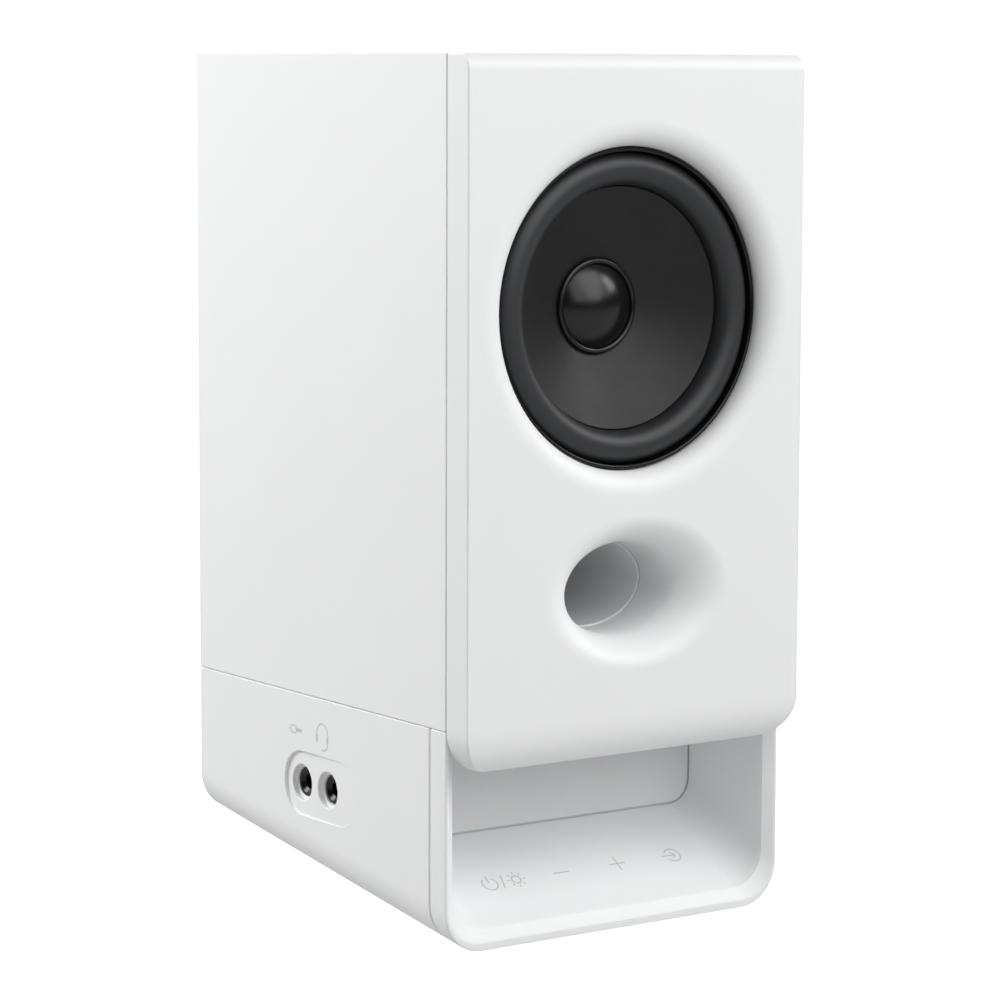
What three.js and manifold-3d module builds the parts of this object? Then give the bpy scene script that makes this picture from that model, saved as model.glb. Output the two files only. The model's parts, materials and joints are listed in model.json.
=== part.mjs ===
// Powered desktop bookshelf speaker: a full-range driver and a bass port in a leaning cabinet,
// which stands on a wedge-shaped base that holds the electronics and the touch controls.
//
// Every piece but the feet is drawn in the cabinet's own leaning frame: x to the right seen from
// the front, y square to the baffle towards the rear, z up along the baffle. y = 0 is the baffle's
// front and z = 0 is the seam between the cabinet and the base. The whole is then leaned back, so
// that the underside of the base is level. Millimetres.
import * as THREE from 'three';
import { mergeVertices } from 'three/addons/utils/BufferGeometryUtils.js';
import Module from 'manifold-3d';

const wasm = await Module();
wasm.setup();

// ---- Driving dimensions ----------------------------------------------------------------------

const halfWidth = 51;
const depth = 123;
const lean = THREE.MathUtils.degToRad(7.9);
const gap = 0.3;                      // left between neighbouring pieces

const baffle = {
  thickness: 8, top: 160, bottom: -10.3, cornerRadius: 10.5, topEdge: 4,
  rollDepth: 6.5, rollHeight: 11, sideDraft: 0.6,
  ribSet: 4.3, ribWidth: 2.2, ribDepth: 5,
};
const cabinet = { wall: 4, bossSide: 9, bossDepth: 16 };
const base = { front: 8.3, height: 54.7, cornerRadius: 11, wall: 2, floor: 2.2, seamY: 15 };
const recess = {
  mouth: { y: base.front, halfWidth: 50, bottom: -52.6, top: -2.6 },
  throat: { y: 10.5, halfWidth: 47.4, bottom: -49.4, top: -4.6 },
  back: { y: 38, halfWidth: 45.4, bottom: -32.6, top: -6 },
  cornerRadius: 9.5, topRadius: 3, wall: 1.5,
};
const driver = { z: 98.8, openingRadius: 39.2, flareRadius: 45.5, flareDepth: 4.7 };
const port = {
  z: 30.3, flareDepth: 11, spigotEnd: 22, tubeEnd: 84, wall: 2,
  mouthHalfWidth: 27.9, mouthHalfHeight: 18.9, halfWidth: 17, halfHeight: 11.3,
};
const jacks = { z: -22.9, y: [61.2, 73.6], holeRadius: 4.9, noseRadius: 3.6, boreRadius: 1.8 };
const scoop = { front: 47.4, rear: 80.9, halfHeight: 8.3, radius: 8, depth: 1.1 };
const foot = { radius: 7.5, thickness: 2, proud: 1, x: 31, front: 17.5, rear: 104, sides: 20 };
const screw = { shank: 1.35, hole: 1.65, head: 2.7, headHeight: 1.8, sides: 8 };
const excursion = 2.5;                // the cone's travel each way from rest

// ---- Materials -------------------------------------------------------------------------------

const finish = (color, roughness, metalness = 0) => () =>
  new THREE.MeshStandardMaterial({ color, roughness, metalness });
const whitePlastic = finish(0xeeeeec, 0.5);
const diffuserPlastic = finish(0xd8d9da, 0.6);
const blackPlastic = finish(0x141516, 0.35);
const blackRubber = finish(0x1b1c1d, 0.6);
const conePaper = finish(0x232426, 0.65);
const blackSteel = finish(0x202122, 0.45, 0.6);
const zincSteel = finish(0xb4b7ba, 0.35, 1);
const ferrite = finish(0x2b2b2d, 0.8);
const copper = finish(0xb4683a, 0.35, 1);
const amberCloth = finish(0xc48a3c, 0.9);
const brownPaper = finish(0x8a6238, 0.8);
const greenBoard = finish(0x1f5a36, 0.5);
const aluminium = finish(0xbfc2c5, 0.35, 1);
const greyFibre = finish(0x9a9c9e, 1);
const lensWhite = finish(0xf4ecd0, 0.3);
const redPlastic = finish(0xa8201c, 0.45);

// ---- Solids ----------------------------------------------------------------------------------

/** Turns a closed geometry into a manifold solid with its faces pointing out. */
function toSolid(item) {
  if (!item.isBufferGeometry) return item;
  const bare = item.clone();
  for (const name of Object.keys(bare.attributes)) {
    if (name !== 'position') bare.deleteAttribute(name);
  }
  const merged = mergeVertices(bare, 1e-4);
  const at = merged.attributes.position;
  const triangles = [];
  let volume = 0;
  const [a, b, c] = [new THREE.Vector3(), new THREE.Vector3(), new THREE.Vector3()];
  for (let i = 0; i < merged.index.count; i += 3) {
    const corners = [0, 1, 2].map((k) => merged.index.getX(i + k));
    if (new Set(corners).size < 3) continue;
    a.fromBufferAttribute(at, corners[0]);
    b.fromBufferAttribute(at, corners[1]);
    c.fromBufferAttribute(at, corners[2]);
    volume += a.dot(b.cross(c));
    triangles.push(corners);
  }
  const outward = volume > 0 ? triangles : triangles.map(([p, q, r]) => [p, r, q]);
  return new wasm.Manifold(new wasm.Mesh({
    numProp: 3,
    vertProperties: new Float32Array(at.array),
    triVerts: new Uint32Array(outward.flat()),
  }));
}

function toGeometry(solid) {
  const mesh = solid.getMesh();
  const geometry = new THREE.BufferGeometry();
  geometry.setAttribute('position', new THREE.BufferAttribute(mesh.vertProperties, 3));
  geometry.setIndex(new THREE.BufferAttribute(mesh.triVerts, 1));
  geometry.computeVertexNormals();
  return geometry;
}

const join = (...items) => items.map(toSolid).reduce((whole, item) => whole.add(item));
const cut = (item, ...tools) =>
  tools.reduce((left, tool) => left.subtract(toSolid(tool)), toSolid(item));
const common = (item, other) => toSolid(item).intersect(toSolid(other));

/** An outline drawn in x and z, extruded from y0 to y1. */
function alongY(outline, y0, y1, curveSegments = 12) {
  const options = { depth: y1 - y0, bevelEnabled: false, curveSegments };
  const geometry = new THREE.ExtrudeGeometry(outline, options);
  return geometry.rotateX(Math.PI / 2).translate(0, y1, 0);
}

/** An outline drawn in y and z, extruded from x0 to x1. */
function alongX(outline, x0, x1, curveSegments = 12) {
  const options = { depth: x1 - x0, bevelEnabled: false, curveSegments };
  const geometry = new THREE.ExtrudeGeometry(outline, options);
  const axes = new THREE.Matrix4().makeBasis(
    new THREE.Vector3(0, 1, 0), new THREE.Vector3(0, 0, 1), new THREE.Vector3(1, 0, 0));
  return geometry.applyMatrix4(axes).translate(x0, 0, 0);
}

const block = (x0, x1, y0, y1, z0, z1) => new THREE.BoxGeometry(x1 - x0, y1 - y0, z1 - z0)
  .translate((x0 + x1) / 2, (y0 + y1) / 2, (z0 + z1) / 2);

const rod = (radius, length, sides) => new THREE.CylinderGeometry(radius, radius, length, sides);
const rodX = (radius, x0, x1, y, z, sides = 24) =>
  rod(radius, x1 - x0, sides).rotateZ(Math.PI / 2).translate((x0 + x1) / 2, y, z);
const rodY = (radius, y0, y1, x, z, sides = 24) =>
  rod(radius, y1 - y0, sides).translate(x, (y0 + y1) / 2, z);
const rodZ = (radius, z0, z1, x, y, sides = 24) =>
  rod(radius, z1 - z0, sides).rotateX(Math.PI / 2).translate(x, y, (z0 + z1) / 2);

/** A rectangle with its own radius for the lower and the upper corners. */
function roundedRectangle(x0, x1, z0, z1, lowerRadius, upperRadius = lowerRadius) {
  const outline = new THREE.Shape();
  outline.moveTo(x0 + lowerRadius, z0);
  outline.lineTo(x1 - lowerRadius, z0);
  outline.absarc(x1 - lowerRadius, z0 + lowerRadius, lowerRadius, -Math.PI / 2, 0);
  outline.lineTo(x1, z1 - upperRadius);
  if (upperRadius > 0) {
    outline.absarc(x1 - upperRadius, z1 - upperRadius, upperRadius, 0, Math.PI / 2);
    outline.lineTo(x0 + upperRadius, z1);
    outline.absarc(x0 + upperRadius, z1 - upperRadius, upperRadius, Math.PI / 2, Math.PI);
  } else {
    outline.lineTo(x0, z1);
  }
  outline.lineTo(x0, z0 + lowerRadius);
  outline.absarc(x0 + lowerRadius, z0 + lowerRadius, lowerRadius, Math.PI, 1.5 * Math.PI);
  return outline;
}

const ellipse = (halfX, halfZ, centreZ) => {
  const outline = new THREE.Shape();
  outline.absellipse(0, centreZ, halfX, halfZ, 0, 2 * Math.PI);
  return outline;
};

/** One outline carried through stations in y, each with its own half width, bottom and top. */
function lofted(outline, stations, curveSegments = 12) {
  const geometry = new THREE.ExtrudeGeometry(outline, {
    depth: stations.length - 1, steps: stations.length - 1, bevelEnabled: false, curveSegments,
  });
  const at = geometry.attributes.position;
  const [first] = stations;
  for (let i = 0; i < at.count; i += 1) {
    const station = stations[Math.round(at.getZ(i))];
    const x = at.getX(i) * station.halfWidth / first.halfWidth;
    const rise = (at.getY(i) - first.bottom) / (first.top - first.bottom);
    at.setXYZ(i, x, station.y, station.bottom + rise * (station.top - station.bottom));
  }
  return geometry;
}

/** A closed profile of [radius, y] turned about the driver's axis. */
const turned = (profile, sides = 40) =>
  new THREE.LatheGeometry(profile.map(([r, y]) => new THREE.Vector2(r, y)), sides).translate(0, 0, driver.z);

const ring = (inner, outer, y0, y1, sides) =>
  turned([[inner, y0], [outer, y0], [outer, y1], [inner, y1], [inner, y0]], sides);

/** The body of revolution between a curve and the same curve moved back by its thickness. */
function turnedSheet(curve, thickness, sides) {
  const back = curve.map(([r, y]) => [r, y + thickness]).reverse();
  return turned([...curve, ...back, curve[0]], sides);
}

// ---- The assembly ----------------------------------------------------------------------------

const leaning = new THREE.Group();
leaning.rotation.x = -lean;
const speaker = new THREE.Group();
speaker.add(leaning);

function addPiece(name, item, material) {
  const mesh = new THREE.Mesh(toGeometry(toSolid(item)), material());
  mesh.name = name;
  leaning.add(mesh);
}

const slope = Math.tan(lean);
const undersideZ = (y) => -base.height + slope * (y - base.front);

/** The base's outline extruded parallel to its sloping underside, and cut level at the top. */
function baseBlock(inset, rise, y0, y1, top) {
  const radius = base.cornerRadius - inset;
  const outline = roundedRectangle(
    -halfWidth + inset, halfWidth - inset, -base.height + rise, 40, radius, 0);
  const geometry = alongY(outline, y0, y1, 8);
  geometry.applyMatrix4(new THREE.Matrix4().makeShear(0, 0, 0, slope, 0, 0));
  geometry.translate(0, 0, -slope * base.front);
  return cut(geometry, block(-80, 80, y0 - 5, y1 + 5, top, 100));
}

/** Puts a piece drawn upright on the level underside at a distance behind its front edge. */
const underBase = (geometry, x, distance) => geometry.rotateX(lean).translate(
  x, base.front + distance * Math.cos(lean), -base.height + distance * Math.sin(lean));

const corners = [[-1, -1], [1, -1], [-1, 1], [1, 1]];

/** A pan head screw driven forwards, with the underside of its head at headY. */
const screwAlongY = (x, z, headY, length) => join(
  rodY(screw.head, headY, headY + screw.headHeight, x, z, 12),
  rodY(screw.shank, headY - length, headY + 1, x, z, screw.sides));

// ---- Baffle ----------------------------------------------------------------------------------

const earRadius = 46.5;
const driverScrews = corners.map(([sx, sz]) => [
  sx * earRadius * Math.SQRT1_2, driver.z + sz * earRadius * Math.SQRT1_2]);

function portStations(from, to, count) {
  const stations = [];
  for (let i = 0; i <= count; i += 1) {
    const y = from + (to - from) * i / count;
    const inside = Math.min(y, port.flareDepth) / port.flareDepth;
    const flare = 1 - Math.sqrt(1 - (1 - inside) ** 2);
    const halfHeight = port.halfHeight + (port.mouthHalfHeight - port.halfHeight) * flare;
    stations.push({
      y,
      halfWidth: port.halfWidth + (port.mouthHalfWidth - port.halfWidth) * flare,
      bottom: port.z - halfHeight,
      top: port.z + halfHeight,
    });
  }
  return stations;
}

function makeBaffle() {
  const front = roundedRectangle(-halfWidth, halfWidth, baffle.bottom, baffle.top, baffle.cornerRadius, 0);
  const plate = lofted(front, [
    { y: baffle.thickness, halfWidth, bottom: baffle.bottom, top: baffle.top },
    { y: 0, halfWidth: halfWidth - baffle.sideDraft, bottom: baffle.bottom, top: baffle.top },
  ], 8);

  const side = new THREE.Shape();
  side.moveTo(baffle.thickness + 1, baffle.top);
  side.lineTo(baffle.topEdge, baffle.top);
  side.absarc(baffle.topEdge, baffle.top - baffle.topEdge, baffle.topEdge, Math.PI / 2, Math.PI);
  side.absellipse(baffle.rollDepth, baffle.bottom + baffle.rollHeight,
    baffle.rollDepth, baffle.rollHeight, Math.PI, 1.5 * Math.PI);
  side.lineTo(baffle.thickness + 1, baffle.bottom);
  const slab = common(plate, alongX(side, -60, 60, 8));

  const ribX = halfWidth - baffle.ribSet;
  const ribEdge = (inset) => roundedRectangle(
    -ribX + inset, ribX - inset, baffle.ribSet + inset, baffle.top - baffle.ribSet - inset, 1);
  const ribEnd = baffle.thickness + baffle.ribDepth;
  const rib = cut(alongY(ribEdge(0), 7, ribEnd, 2), alongY(ribEdge(baffle.ribWidth), 6, ribEnd + 1, 2));

  const spigot = alongY(
    ellipse(port.halfWidth + port.wall, port.halfHeight + port.wall, port.z), 6, port.spigotEnd, 16);

  const flare = [];
  for (let i = 0; i <= 5; i += 1) {
    const turn = (i / 5) * Math.PI / 2;
    flare.push([
      driver.flareRadius - (driver.flareRadius - driver.openingRadius) * Math.sin(turn),
      driver.flareDepth * (1 - Math.cos(turn)),
    ]);
  }
  const opening = turned([[0, -1], [driver.flareRadius, -1], ...flare, [driver.openingRadius, 20], [0, 20]]);

  const flareSteps = portStations(0, port.flareDepth, 5);
  const bore = lofted(
    ellipse(flareSteps[0].halfWidth, port.mouthHalfHeight, port.z),
    [...flareSteps, { ...flareSteps.at(-1), y: port.spigotEnd + 1 }], 16);
  const mouth = alongY(ellipse(port.mouthHalfWidth, port.mouthHalfHeight, port.z), -1, 0.001, 16);

  const pilots = driverScrews.map(([x, z]) => rodY(screw.hole, 2.6, 12, x, z, screw.sides));
  return cut(join(slab, rib, spigot), opening, bore, mouth, ...pilots);
}

addPiece('front_baffle', makeBaffle(), whitePlastic);

// ---- Cabinet ---------------------------------------------------------------------------------

const rearPanel = { front: 119.2, rear: 122.6 };
const screwWell = 2;
const cabinetFront = baffle.thickness + gap;
const innerX = halfWidth - cabinet.wall;
const rearScrews = corners.map(([sx, sz]) => [sx * (innerX - 4.8), 80 + sz * (80 - cabinet.wall - 4.8)]);
const baseScrews = [[-43, 46], [43, 46], [-43, 94], [43, 94]];
const leadHole = { x: 33, y: 78, radius: 4 };

function makeCabinet() {
  const sleeve = cut(
    block(-halfWidth, halfWidth, cabinetFront, depth, 0, baffle.top),
    block(-innerX, innerX, 0, depth + 1, cabinet.wall, baffle.top - cabinet.wall));
  const bosses = corners.map(([sx, sz]) => {
    const x = sx * (innerX + 0.5 - cabinet.bossSide / 2);
    const z = 80 + sz * (80.5 - cabinet.wall - cabinet.bossSide / 2);
    const half = cabinet.bossSide / 2;
    const rear = rearPanel.front - gap;
    return block(x - half, x + half, rear - cabinet.bossDepth, rear, z - half, z + half);
  });
  const pilots = rearScrews.map(([x, z]) => rodY(screw.hole, 106, 125, x, z, screw.sides));
  const floorHoles = baseScrews.map(([x, y]) => rodZ(screw.hole, -2, 6, x, y, screw.sides));
  return cut(join(sleeve, ...bosses), ...pilots, ...floorHoles,
    rodZ(leadHole.radius, -2, 6, leadHole.x, leadHole.y));
}

function makeRearPanel() {
  const panel = block(-innerX + gap, innerX - gap, rearPanel.front, rearPanel.rear,
    cabinet.wall + gap, baffle.top - cabinet.wall - gap);
  const holes = rearScrews.flatMap(([x, z]) => [
    rodY(screw.hole, 115, 125, x, z, screw.sides),
    rodY(screw.head + gap, rearPanel.rear - screwWell, 125, x, z, 16),
  ]);
  return cut(panel, ...holes);
}

addPiece('cabinet_shell', makeCabinet(), whitePlastic);
addPiece('rear_panel', makeRearPanel(), whitePlastic);
rearScrews.forEach(([x, z], i) => {
  addPiece(`rear_panel_screw_${i + 1}`, screwAlongY(x, z, rearPanel.rear - screwWell + gap, 11), zincSteel);
});
addPiece('acoustic_wadding', block(-36, 36, 106, 118.4, 14, 146), greyFibre);

// ---- Port tube -------------------------------------------------------------------------------

function makePortTube() {
  const outer = join(
    alongY(ellipse(port.halfWidth + port.wall, port.halfHeight + port.wall, port.z),
      port.spigotEnd + gap, port.tubeEnd, 16),
    alongY(ellipse(port.halfWidth + 4.6, port.halfHeight + 4.6, port.z), 14, 26, 16));
  return cut(outer,
    alongY(ellipse(port.halfWidth + port.wall + gap, port.halfHeight + port.wall + gap, port.z),
      13, port.spigotEnd + gap, 16),
    alongY(ellipse(port.halfWidth, port.halfHeight, port.z), 13, port.tubeEnd + 1, 16));
}

addPiece('port_tube', makePortTube(), whitePlastic);

// ---- Driver ----------------------------------------------------------------------------------

const flange = { front: 9.8, rear: 11, inner: 36.6, half: 42.8, earTip: 50 };
const magnetics = { front: 38, plate: 4, magnet: 13, back: 4 };
const plateRear = magnetics.front + magnetics.plate;
const magnetRear = plateRear + gap + magnetics.magnet;
const yokeRear = magnetRear + gap + magnetics.back;
const spiderY = 29.5;
const coil = {
  former: 10.3, formerWall: 0.4, radius: 11.2,
  front: magnetics.front - excursion + gap, rear: plateRear + excursion - gap,
};

/** The rolled surround: a flat foot outside, a half roll, and a flat foot on the cone's edge. */
function surroundCurve() {
  const curve = [[38.6, 8.5], [36.9, 8.5]];
  const centre = 33.35;
  const radius = 3.55;
  for (let i = 1; i < 7; i += 1) {
    const turn = (i / 7) * Math.PI;
    curve.push([centre + radius * Math.cos(turn), 8.5 - radius * Math.sin(turn)]);
  }
  return [...curve, [29.8, 8.5], [28.3, 8.5]];
}

/** The spider: a cloth disc with round corrugations between two flat feet. */
function spiderCurve() {
  const [inner, outer, waves, height] = [12.2, 25.5, 3, 1.1];
  const curve = [[28.4, spiderY], [outer, spiderY]];
  for (let i = 1; i < waves * 4; i += 1) {
    const way = i / (waves * 4);
    curve.push([outer - (outer - inner) * way, spiderY - height * Math.sin(way * waves * 2 * Math.PI)]);
  }
  return [...curve, [inner, spiderY], [coil.former + gap, spiderY]];
}

function domeCurve(rim, rimY, height, count) {
  const radius = (rim * rim + height * height) / (2 * height);
  const spread = Math.asin(rim / radius);
  const curve = [];
  for (let i = 0; i <= count; i += 1) {
    const turn = spread * (1 - i / count);
    curve.push([i === count ? 0 : radius * Math.sin(turn), rimY - height + radius * (1 - Math.cos(turn))]);
  }
  return curve;
}

function makeDustCap() {
  const outside = domeCurve(11.4, 19.6, 4.6, 5);
  const inside = domeCurve(10.8, 19.6, 4, 5).reverse();
  return turned([...outside, ...inside, outside[0]], 32);
}

function makeFrame() {
  const basket = turned([
    [flange.inner, flange.front], [41, flange.front], [41, flange.rear], [37.8, flange.rear],
    [30.4, 31.4], [27, 31.4], [27, magnetics.front - gap], [12.8, magnetics.front - gap],
    [12.8, magnetics.front - 1.5], [25.8, magnetics.front - 1.5], [25.8, 30.2], [29.3, 30.2],
    [flange.inner, flange.rear], [flange.inner, flange.front],
  ]);
  const square = roundedRectangle(
    -flange.half, flange.half, driver.z - flange.half, driver.z + flange.half, 2);
  const ears = cut(
    common(alongY(square, flange.front, flange.rear, 3), turned([
      [0, 5], [flange.earTip, 5], [flange.earTip, 15], [0, 15]])),
    turned([[0, 5], [40, 5], [40, 15], [0, 15]]));
  const windows = [];
  for (let i = 0; i < 6; i += 1) {
    const window = block(-8, 8, 14, 27.5, 24, 45);
    windows.push(window.rotateY((i + 0.5) * Math.PI / 3).translate(0, 0, driver.z));
  }
  const holes = driverScrews.map(([x, z]) => rodY(screw.hole, 5, 15, x, z, screw.sides));
  return cut(join(basket, ears), ...windows, ...holes);
}

addPiece('driver_trim_ring', turned([
  [37.9, 5.4], [38.4, 4.9], [38.9, 5.2], [38.9, 8.2], [37.9, 8.2], [37.9, 5.4]]), blackPlastic);
addPiece('driver_gasket', ring(39.6, 42.4, cabinetFront, flange.front - gap), blackRubber);
addPiece('driver_frame', makeFrame(), blackSteel);
driverScrews.forEach(([x, z], i) => {
  addPiece(`driver_screw_${i + 1}`, screwAlongY(x, z, flange.rear + gap, 8), zincSteel);
});
addPiece('surround', turnedSheet(surroundCurve(), 0.8, 32), blackRubber);
addPiece('cone', turned([
  [30, 9.6], [28, 9.6], [20, 14.4], [11.7, 20.4], [10.8, 21.2], [10.8, 22.4], [12.2, 21],
  [20.2, 15.3], [27.8, 10.5], [30, 10.5], [30, 9.6]], 32), conePaper);
addPiece('dust_cap', makeDustCap(), conePaper);
addPiece('voice_coil_former', ring(
  coil.former - coil.formerWall, coil.former, 20.6, coil.rear + 0.6, 32), amberCloth);
addPiece('voice_coil', ring(coil.former + gap, coil.radius, coil.front, coil.rear, 32), copper);
addPiece('spider', turnedSheet(spiderCurve(), 0.4, 24), amberCloth);
addPiece('top_plate', ring(coil.radius + 0.5, 30, magnetics.front, plateRear, 36), zincSteel);
addPiece('magnet', ring(17, 31.5, plateRear + gap, magnetRear, 36), ferrite);
addPiece('yoke', turned([
  [0, magnetics.front], [9.4, magnetics.front], [9.4, magnetRear + gap], [30, magnetRear + gap],
  [30, yokeRear], [0, yokeRear]], 36), zincSteel);

const terminalTurn = -0.75 * Math.PI;
const terminal = { radial: 32.6, thickness: 2, front: 27, rear: 37 };
const terminalBlock = block(
  -7, 7, terminal.front, terminal.rear, terminal.radial, terminal.radial + terminal.thickness);
addPiece('driver_terminal', terminalBlock.rotateY(-terminalTurn).translate(0, 0, driver.z), brownPaper);

// ---- Base ------------------------------------------------------------------------------------

const seamTop = -gap;
const baseFrontY = base.seamY + gap / 2;
const trayFace = baseFrontY - gap - 0.05;
const wallInside = halfWidth - base.wall;
const boardPosts = [[-12, 57], [33, 57], [-12, 103], [33, 103]];
const board = { top: -29, thickness: 1.6 };
const rearSockets = [
  { name: 'power_inlet', x: 32, z: -22.4, radius: 5.6 },
  { name: 'link_socket', x: 14, z: -22.4, radius: 5.6 },
];
const usb = { x: -4, z: -26.6, halfWidth: 4.5, halfHeight: 1.7 };

function makeBase() {
  const outside = baseBlock(0, 0, baseFrontY, depth, seamTop);
  const inside = baseBlock(base.wall, base.floor, baseFrontY - 1, depth - base.wall, 5);
  const posts = [
    ...baseScrews.map(([x, y]) => rodZ(3.8, -70, seamTop, x, y, 12)),
    ...boardPosts.map(([x, y]) => rodZ(2.6, -70, board.top - board.thickness - gap, x, y, 10)),
    block(-wallInside - 0.5, -wallInside + 1.6, 49.9, 84, -34, -12),
  ].map((post) => common(post, baseBlock(0.5, 0.5, baseFrontY, depth - 0.5, seamTop)));
  const pilots = baseScrews.map(([x, y]) => rodZ(screw.hole, -14, 1, x, y, screw.sides));

  const length = scoop.rear - scoop.front;
  const scoopOutline = roundedRectangle(0, length, -scoop.halfHeight, scoop.halfHeight, scoop.radius);
  const scoopCutter = alongX(scoopOutline, -6, 0, 8)
    .rotateZ(-Math.asin(scoop.depth / length)).translate(-halfWidth, scoop.front, jacks.z);
  const jackHoles = jacks.y.map((y) => rodX(jacks.holeRadius, -55, -44, y, jacks.z, 24));
  const socketHoles = rearSockets.map(({ x, z, radius }) => rodY(radius, 118, 126, x, z, 24));
  const usbHole = alongY(roundedRectangle(
    usb.x - usb.halfWidth - gap, usb.x + usb.halfWidth + gap,
    usb.z - usb.halfHeight - gap, usb.z + usb.halfHeight + gap, 1.9), 118, 126, 6);
  const pockets = feetPlaces.map(([x, distance]) => underBase(
    rodZ(foot.radius + gap, -5, foot.thickness - foot.proud + gap, 0, 0, foot.sides), x, distance));
  return cut(join(cut(outside, inside), ...posts), ...pilots, scoopCutter, ...jackHoles,
    ...socketHoles, usbHole, ...pockets);
}

function makeControlBezel() {
  const stations = [recess.mouth, recess.throat, recess.back];
  const mouthOutline = roundedRectangle(-recess.mouth.halfWidth, recess.mouth.halfWidth,
    recess.mouth.bottom, recess.mouth.top, recess.cornerRadius, recess.topRadius);
  const last = { ...recess.back, y: recess.back.y + 0.001 };
  const cavity = lofted(mouthOutline, [recess.mouth, recess.throat, last], 6);
  const grown = stations.slice(1).map((station) => ({
    y: station.y,
    halfWidth: station.halfWidth + recess.wall,
    bottom: station.bottom - recess.wall * 1.2,
    top: station.top + recess.wall,
  }));
  const trayOutline = roundedRectangle(-grown[0].halfWidth, grown[0].halfWidth,
    grown[0].bottom, grown[0].top, recess.cornerRadius, recess.topRadius);
  const tray = lofted(trayOutline, grown, 6);
  const frontRing = baseBlock(0, 0, base.front, trayFace, seamTop);
  const opening = alongY(mouthOutline, base.front - 1, base.front + 0.001, 6);
  return cut(join(frontRing, tray), cavity, opening);
}

const feetPlaces = [
  [-foot.x, foot.front], [foot.x, foot.front], [-foot.x, foot.rear], [foot.x, foot.rear]];

addPiece('base_shell', makeBase(), whitePlastic);
addPiece('control_bezel', makeControlBezel(), whitePlastic);
baseScrews.forEach(([x, y], i) => {
  const head = rodZ(screw.head, cabinet.wall + gap, cabinet.wall + gap + screw.headHeight, x, y, 12);
  const shank = rodZ(screw.shank, -12, cabinet.wall + 1, x, y, screw.sides);
  addPiece(`base_screw_${i + 1}`, join(head, shank), zincSteel);
});
feetPlaces.forEach(([x, distance], i) => {
  const disc = rodZ(foot.radius, -foot.proud, foot.thickness - foot.proud, 0, 0, foot.sides);
  addPiece(`foot_${i + 1}`, underBase(disc, x, distance), blackRubber);
});

// ---- Light and touch controls ----------------------------------------------------------------

const diffuserFront = recess.back.y + gap;
const diffuserLap = 1.3;
const diffuserOutline = roundedRectangle(
  -recess.back.halfWidth - diffuserLap, recess.back.halfWidth + diffuserLap,
  recess.back.bottom - diffuserLap, recess.back.top + diffuserLap, 6);
addPiece('light_diffuser', alongY(
  diffuserOutline, diffuserFront, diffuserFront + 1.8, 8), diffuserPlastic);
addPiece('light_board', block(-38, 38, 42.6, 44, -30, -10), greenBoard);
[-24, 0, 24].forEach((x, i) => {
  addPiece(`light_led_${i + 1}`, block(x - 1.8, x + 1.8, 41.3, 42.3, -21.4, -18.6), lensWhite);
});

/** The touch board lies under the sloping floor of the recess, parallel to it. */
const floorSlope = Math.atan2(
  recess.back.bottom - recess.throat.bottom, recess.back.y - recess.throat.y);
const floorMiddle = [
  (recess.back.y + recess.throat.y) / 2 + 1, (recess.back.bottom + recess.throat.bottom) / 2 + 0.6];
const touchDrop = 2.1;
addPiece('touch_board', block(-44, 44, -11, 11, -touchDrop - 1, -touchDrop)
  .rotateX(floorSlope).translate(0, floorMiddle[0], floorMiddle[1]), greenBoard);

// ---- Amplifier -------------------------------------------------------------------------------

const onBoard = board.top + gap;
addPiece('amplifier_board', block(-17, 38, 53, 119, board.top - board.thickness, board.top), greenBoard);

const fin = { count: 5, pitch: 5, thickness: 2, height: 14, root: 2.5 };
const comb = new THREE.Shape();
comb.moveTo(0, 0);
comb.lineTo((fin.count - 1) * fin.pitch + fin.thickness, 0);
for (let i = fin.count - 1; i >= 0; i -= 1) {
  const left = i * fin.pitch;
  if (i < fin.count - 1) comb.lineTo(left + fin.thickness, fin.root);
  comb.lineTo(left + fin.thickness, fin.height);
  comb.lineTo(left, fin.height);
  if (i > 0) comb.lineTo(left, fin.root);
}
addPiece('heat_sink', alongY(comb, 54, 70).translate(11.6, 0, onBoard), aluminium);
[[2, 74], [2, 88]].forEach(([x, y], i) => {
  addPiece(`filter_capacitor_${i + 1}`, rodZ(5.5, onBoard, onBoard + 16, x, y, 28), blackPlastic);
});
addPiece('output_inductor', new THREE.LatheGeometry(
  [[3.5, 0], [7.5, 0], [7.5, 6], [3.5, 6], [3.5, 0]].map(([r, h]) => new THREE.Vector2(r, h)), 32)
  .rotateX(Math.PI / 2).translate(24, 96, onBoard), copper);
addPiece('wireless_module', join(
  block(-11, 7, 56, 68, onBoard, onBoard + 1),
  block(-10, 2, 57, 67, onBoard + 0.5, onBoard + 2.6)), aluminium);

// ---- Sockets ---------------------------------------------------------------------------------

const jackBoardTop = jacks.z - 3.4;
addPiece('jack_board', block(-45.6, -24, 52, 79, jackBoardTop - 1.2, jackBoardTop), greenBoard);
['headphone_socket', 'aux_socket'].forEach((name, i) => {
  const y = jacks.y[i];
  const bodyLow = jackBoardTop + gap;
  const body = join(
    block(-46.6, -33, y - 3.4, y + 3.4, bodyLow, jacks.z + 3.2),
    rodX(jacks.noseRadius, -48.8, -46, y, jacks.z, 24));
  addPiece(name, cut(body, rodX(jacks.boreRadius, -55, -34, y, jacks.z, 20)), blackPlastic);
});

rearSockets.forEach(({ name, x, z, radius }) => {
  const body = join(
    block(x - 4.6, x + 4.6, 107, 120, onBoard, z + 5),
    rodY(radius - gap, 119, depth - 0.6, x, z));
  const hollow = cut(body, rodY(3.4, 110, 126, x, z));
  addPiece(name, join(hollow, rodY(1, 108, 121, x, z, 12)), blackPlastic);
});

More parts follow.
